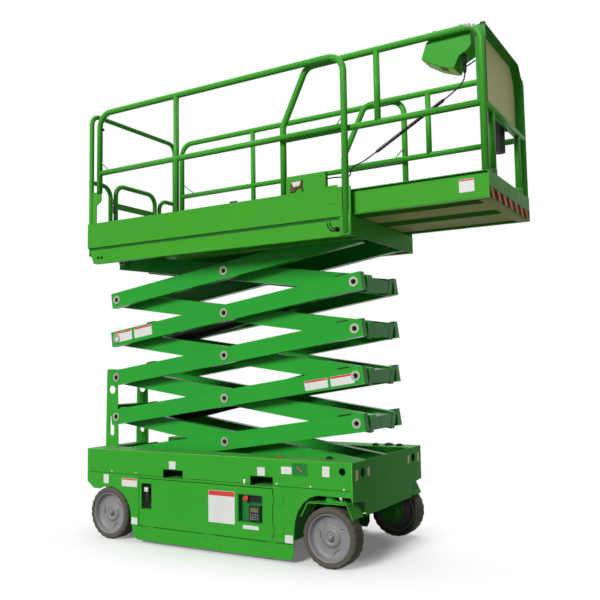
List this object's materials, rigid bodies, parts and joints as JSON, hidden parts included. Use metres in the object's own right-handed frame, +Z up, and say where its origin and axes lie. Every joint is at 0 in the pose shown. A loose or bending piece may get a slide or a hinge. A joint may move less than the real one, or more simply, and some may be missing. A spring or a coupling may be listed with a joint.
{
  "type": "scissor lift",
  "caption": "Self-propelled scissor lift, part raised, with crossed arm pairs, railed deck, slide-out deck extension, entry gate, ladder and steered wheels.",
  "frame": {"origin": "on the ground under the middle of the whole machine, with the deck extension run out", "axes": "+X towards the steered wheels and the deck extension, +Y to the left side, +Z up"},
  "size_m": [3.359, 1.152, 3.3307],
  "materials": {
    "frame_paint": "gloss",
    "deck_paint": "gloss",
    "arm_paint": "gloss",
    "rail_paint": "gloss",
    "black_parts": "matte",
    "cylinder_paint": "satin",
    "bare_steel": "satin",
    "rod_chrome": "polished",
    "tyre_rubber": "matte",
    "wheel_paint": "satin",
    "panel_sheet": "satin",
    "cord_black": "matte"
  },
  "bodies": {
    "chassis": {"chassis_frame": "frame_paint", "front_plate": "frame_paint", "base_pins": "bare_steel", "rear_axle": "frame_paint", "steer_cylinder": "cylinder_paint", "entry_ladder": "frame_paint", "battery_pack": "black_parts", "hydraulic_unit": "black_parts"},
    "door_left": {"door_left": "frame_paint"},
    "door_right": {"door_right": "frame_paint", "ground_control": "black_parts"},
    "guard_left": {"guard_left": "frame_paint"},
    "guard_right": {"guard_right": "frame_paint"},
    "knuckle_left": {"knuckle_left": "frame_paint"},
    "knuckle_right": {"knuckle_right": "frame_paint"},
    "steer_rod": {"steer_rod": "rod_chrome"},
    "wheel_front_left": {"tyre_front_left": "tyre_rubber", "hub_front_left": "wheel_paint"},
    "wheel_front_right": {"tyre_front_right": "tyre_rubber", "hub_front_right": "wheel_paint"},
    "wheel_rear_left": {"tyre_rear_left": "tyre_rubber", "hub_rear_left": "wheel_paint"},
    "wheel_rear_right": {"tyre_rear_right": "tyre_rubber", "hub_rear_right": "wheel_paint"},
    "outer_1": {"outer_arm_1": "arm_paint"},
    "inner_1": {"inner_arm_1": "arm_paint", "pins_1": "bare_steel"},
    "outer_2": {"outer_arm_2": "arm_paint"},
    "inner_2": {"inner_arm_2": "arm_paint", "pins_2": "bare_steel"},
    "outer_3": {"outer_arm_3": "arm_paint"},
    "inner_3": {"inner_arm_3": "arm_paint", "pins_3": "bare_steel"},
    "outer_4": {"outer_arm_4": "arm_paint"},
    "inner_4": {"inner_arm_4": "arm_paint", "pins_4": "bare_steel"},
    "outer_5": {"outer_arm_5": "arm_paint", "slide_rollers": "bare_steel"},
    "inner_5": {"inner_arm_5": "arm_paint", "pins_5": "bare_steel"},
    "lower_barrel": {"lower_barrel": "cylinder_paint"},
    "lower_rod": {"lower_rod": "rod_chrome"},
    "upper_barrel": {"upper_barrel": "cylinder_paint"},
    "upper_rod": {"upper_rod": "rod_chrome"},
    "deck": {"deck_frame": "deck_paint", "rail_near": "rail_paint", "rail_far": "rail_paint", "rail_rear": "rail_paint", "junction_box": "deck_paint", "cord_lower": "cord_black"},
    "gate": {"entry_gate": "rail_paint"},
    "extension": {"extension_deck": "deck_paint", "extension_rails": "rail_paint", "front_panel": "panel_sheet", "control_box": "deck_paint", "canister": "black_parts", "cord_middle": "cord_black", "cord_coil": "cord_black", "cord_upper": "cord_black"}
  },
  "joints": [
    {"name": "lift", "type": "hinge", "parent": "chassis", "child": "outer_1", "pos_m": [-1.4495, 0, 0.57], "axis": [0, -1, 0], "range_deg": [-4.71, 51.54]},
    {"name": "cross_1", "type": "hinge", "parent": "outer_1", "child": "inner_1", "pos_m": [-0.3791, 0, 0.72635], "axis": [0, -1, 0], "range_deg": [-103.58, 9.92]},
    {"name": "fold_1", "type": "hinge", "parent": "inner_1", "child": "outer_2", "pos_m": [-1.4495, 0, 0.88269], "axis": [0, -1, 0], "range_deg": [-9.92, 103.58]},
    {"name": "cross_2", "type": "hinge", "parent": "outer_2", "child": "inner_2", "pos_m": [-0.3791, 0, 1.03904], "axis": [0, -1, 0], "range_deg": [-103.58, 9.92]},
    {"name": "fold_2", "type": "hinge", "parent": "inner_2", "child": "outer_3", "pos_m": [-1.4495, 0, 1.19538], "axis": [0, -1, 0], "range_deg": [-9.92, 103.58]},
    {"name": "cross_3", "type": "hinge", "parent": "outer_3", "child": "inner_3", "pos_m": [-0.3791, 0, 1.35173], "axis": [0, -1, 0], "range_deg": [-103.58, 9.92]},
    {"name": "fold_3", "type": "hinge", "parent": "inner_3", "child": "outer_4", "pos_m": [-1.4495, 0, 1.50807], "axis": [0, -1, 0], "range_deg": [-9.92, 103.58]},
    {"name": "cross_4", "type": "hinge", "parent": "outer_4", "child": "inner_4", "pos_m": [-0.3791, 0, 1.66442], "axis": [0, -1, 0], "range_deg": [-103.58, 9.92]},
    {"name": "fold_4", "type": "hinge", "parent": "inner_4", "child": "outer_5", "pos_m": [-1.4495, 0, 1.82076], "axis": [0, -1, 0], "range_deg": [-9.92, 103.58]},
    {"name": "cross_5", "type": "hinge", "parent": "outer_5", "child": "inner_5", "pos_m": [-0.3791, 0, 1.97711], "axis": [0, -1, 0], "range_deg": [-103.58, 9.92]},
    {"name": "deck_level", "type": "hinge", "parent": "inner_5", "child": "deck", "pos_m": [-1.4495, 0, 2.13345], "axis": [0, -1, 0], "range_deg": [-5.21, 52.04]},
    {"name": "lower_barrel_pin", "type": "hinge", "parent": "inner_1", "child": "lower_barrel", "pos_m": [-1.21028, 0, 0.84775], "axis": [0, -1, 0], "range_deg": [-10.63, 111.31]},
    {"name": "lower_stroke", "type": "slide", "parent": "lower_barrel", "child": "lower_rod", "axis": [0.9764, 0, 0.2162], "range_m": [-0.05749, 0.60919]},
    {"name": "upper_barrel_pin", "type": "hinge", "parent": "inner_3", "child": "upper_barrel", "pos_m": [-1.21028, 0, 1.47313], "axis": [0, -1, 0], "range_deg": [-10.63, 111.31]},
    {"name": "upper_stroke", "type": "slide", "parent": "upper_barrel", "child": "upper_rod", "axis": [0.9764, 0, 0.2162], "range_m": [-0.05749, 0.60919]},
    {"name": "extension_slide", "type": "slide", "parent": "deck", "child": "extension", "axis": [1, 0, 0], "range_m": [-0.9, 0]},
    {"name": "gate_swing", "type": "hinge", "parent": "deck", "child": "gate", "pos_m": [-1.5155, -0.27, 2.52745], "axis": [0, 0, -1], "range_deg": [0, 90], "stiffness_Nm_per_rad": 4, "springref_deg": -11.46},
    {"name": "door_left_swing", "type": "hinge", "parent": "chassis", "child": "door_left", "pos_m": [0.2035, 0.569, 0.3], "axis": [0, 0, -1], "range_deg": [0, 100]},
    {"name": "door_right_swing", "type": "hinge", "parent": "chassis", "child": "door_right", "pos_m": [0.2035, -0.569, 0.3], "axis": [0, 0, 1], "range_deg": [0, 100]},
    {"name": "guard_left_fold", "type": "hinge", "parent": "chassis", "child": "guard_left", "pos_m": [-0.3515, 0.563, 0.122], "axis": [-1, 0, 0], "range_deg": [0, 80]},
    {"name": "guard_right_fold", "type": "hinge", "parent": "chassis", "child": "guard_right", "pos_m": [-0.3515, -0.563, 0.122], "axis": [1, 0, 0], "range_deg": [0, 80]},
    {"name": "steer_left", "type": "hinge", "parent": "chassis", "child": "knuckle_left", "pos_m": [0.6015, 0.5025, 0.4], "axis": [0, 0, 1], "range_deg": [-40, 40]},
    {"name": "steer_right", "type": "hinge", "parent": "chassis", "child": "knuckle_right", "pos_m": [0.6015, -0.5025, 0.4], "axis": [0, 0, 1], "range_deg": [-41, 41]},
    {"name": "steer_travel", "type": "slide", "parent": "chassis", "child": "steer_rod", "axis": [0, 1, 0], "range_m": [-0.06142, 0.06142]},
    {"name": "spin_front_left", "type": "hinge", "parent": "knuckle_left", "child": "wheel_front_left", "pos_m": [0.6135, 0.5105, 0.1905], "axis": [0, 1, 0], "continuous": true},
    {"name": "spin_front_right", "type": "hinge", "parent": "knuckle_right", "child": "wheel_front_right", "pos_m": [0.6135, -0.5105, 0.1905], "axis": [0, 1, 0], "continuous": true},
    {"name": "spin_rear_left", "type": "hinge", "parent": "chassis", "child": "wheel_rear_left", "pos_m": [-1.2565, 0.5105, 0.1905], "axis": [0, 1, 0], "continuous": true},
    {"name": "spin_rear_right", "type": "hinge", "parent": "chassis", "child": "wheel_rear_right", "pos_m": [-1.2565, -0.5105, 0.1905], "axis": [0, 1, 0], "continuous": true}
  ],
  "couplings": [
    {"joint": "cross_1", "follows": "lift", "ratio": -2},
    {"joint": "fold_1", "follows": "lift", "ratio": 2},
    {"joint": "cross_2", "follows": "lift", "ratio": -2},
    {"joint": "fold_2", "follows": "lift", "ratio": 2},
    {"joint": "cross_3", "follows": "lift", "ratio": -2},
    {"joint": "fold_3", "follows": "lift", "ratio": 2},
    {"joint": "cross_4", "follows": "lift", "ratio": -2},
    {"joint": "fold_4", "follows": "lift", "ratio": 2},
    {"joint": "cross_5", "follows": "lift", "ratio": -2},
    {"joint": "deck_level", "follows": "lift", "ratio": 1},
    {"joint": "lower_barrel_pin", "follows": "lift", "ratio": 2.15},
    {"joint": "lower_stroke", "follows": "lift", "m_per_rad": 0.675},
    {"joint": "upper_barrel_pin", "follows": "lift", "ratio": 2.15},
    {"joint": "upper_stroke", "follows": "lift", "m_per_rad": 0.675},
    {"joint": "steer_right", "follows": "steer_left", "ratio": 1},
    {"joint": "steer_travel", "follows": "steer_left", "m_per_rad": 0.086538}
  ]
}
